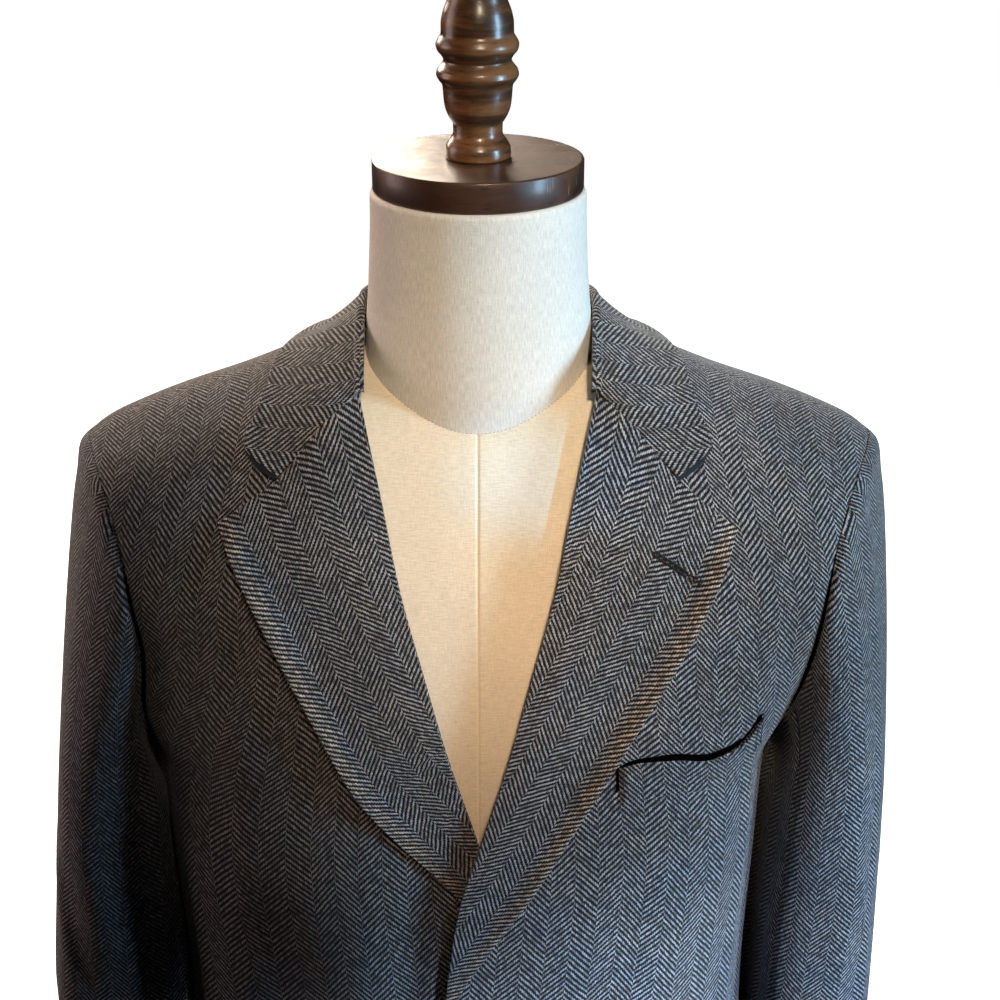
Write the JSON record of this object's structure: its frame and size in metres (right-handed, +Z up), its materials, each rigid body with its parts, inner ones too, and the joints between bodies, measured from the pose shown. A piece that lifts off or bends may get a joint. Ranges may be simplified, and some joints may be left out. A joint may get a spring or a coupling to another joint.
{
  "type": "tweed hacking jacket on a dress form",
  "caption": "Single-breasted herringbone tweed hacking jacket with notched lapels, flapped slanting pockets and a back vent, worn by a limbless canvas dress form on a short turned foot.",
  "frame": {"origin": "on the floor, in the middle of the foot's underside, under the neck's axis", "axes": "+Z up; the chest faces -Y; the wearer's left is +X"},
  "size_m": [0.5541, 0.33, 1.122],
  "materials": {
    "tweed": "brushed wool herringbone tweed, charcoal and beige-grey yarn, matt with a light nap",
    "canvas": "plain-woven cream linen canvas, slubbed, matt",
    "dark_wood": "dark walnut stain under a satin varnish",
    "horn": "mottled dark brown horn, softly polished"
  },
  "bodies": {
    "root": {"front_left": "tweed", "front_right": "tweed", "back_left": "tweed", "back_right": "tweed", "collar": "tweed", "lapel_left": "tweed", "lapel_right": "tweed", "sleeve_left_top": "tweed", "sleeve_left_under": "tweed", "sleeve_right_top": "tweed", "sleeve_right_under": "tweed", "breast_welt": "tweed", "flap_left": "tweed", "flap_right": "tweed", "button_top": "horn", "button_middle": "horn", "button_bottom": "horn", "form_torso": "canvas", "neck_cap": "dark_wood", "finial": "dark_wood", "post": "dark_wood", "base": "dark_wood"}
  },
  "joints": []
}
